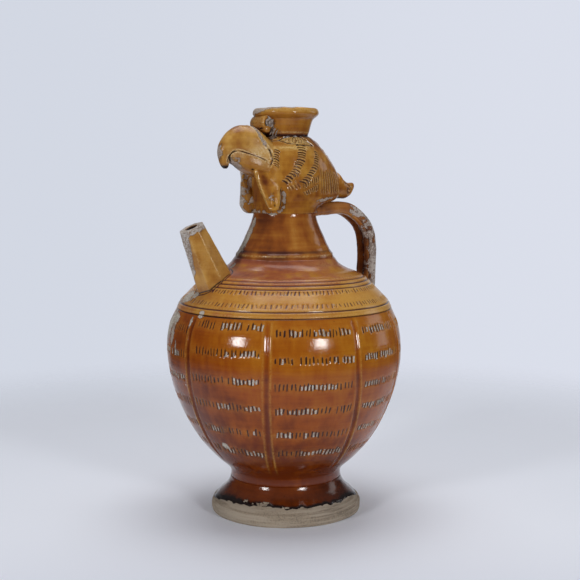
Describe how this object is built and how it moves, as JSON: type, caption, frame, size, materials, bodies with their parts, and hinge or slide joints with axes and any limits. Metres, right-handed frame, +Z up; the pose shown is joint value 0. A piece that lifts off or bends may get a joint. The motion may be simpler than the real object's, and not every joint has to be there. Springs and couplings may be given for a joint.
{
  "type": "phoenix-head ewer",
  "caption": "Glazed stoneware ewer with a fluted round body, splayed foot, tapering neck, bird's head with cup mouth, faceted spout and double-roll handle.",
  "frame": {"origin": "middle of the foot's underside, on the surface that the ewer stands on", "axes": "+Z up along the turning axis, beak and spout towards -X, handle towards +X"},
  "size_m": [0.227, 0.2267, 0.3885],
  "materials": {
    "foot_glaze_and_biscuit": "gloss",
    "body_glaze": "gloss",
    "head_glaze": "gloss",
    "worn_glaze": "satin",
    "spout_glaze": "satin"
  },
  "bodies": {
    "root": {"foot": "foot_glaze_and_biscuit", "body": "body_glaze", "shoulder": "body_glaze", "neck": "body_glaze", "head": "head_glaze", "mouth_cup": "head_glaze", "upper_beak": "head_glaze", "lower_beak": "head_glaze", "nape_tuft": "head_glaze", "wattle_right": "head_glaze", "wattle_left": "worn_glaze", "comb_scroll": "worn_glaze", "handle_roll_right": "worn_glaze", "handle_roll_left": "worn_glaze", "spout": "spout_glaze"}
  },
  "joints": []
}
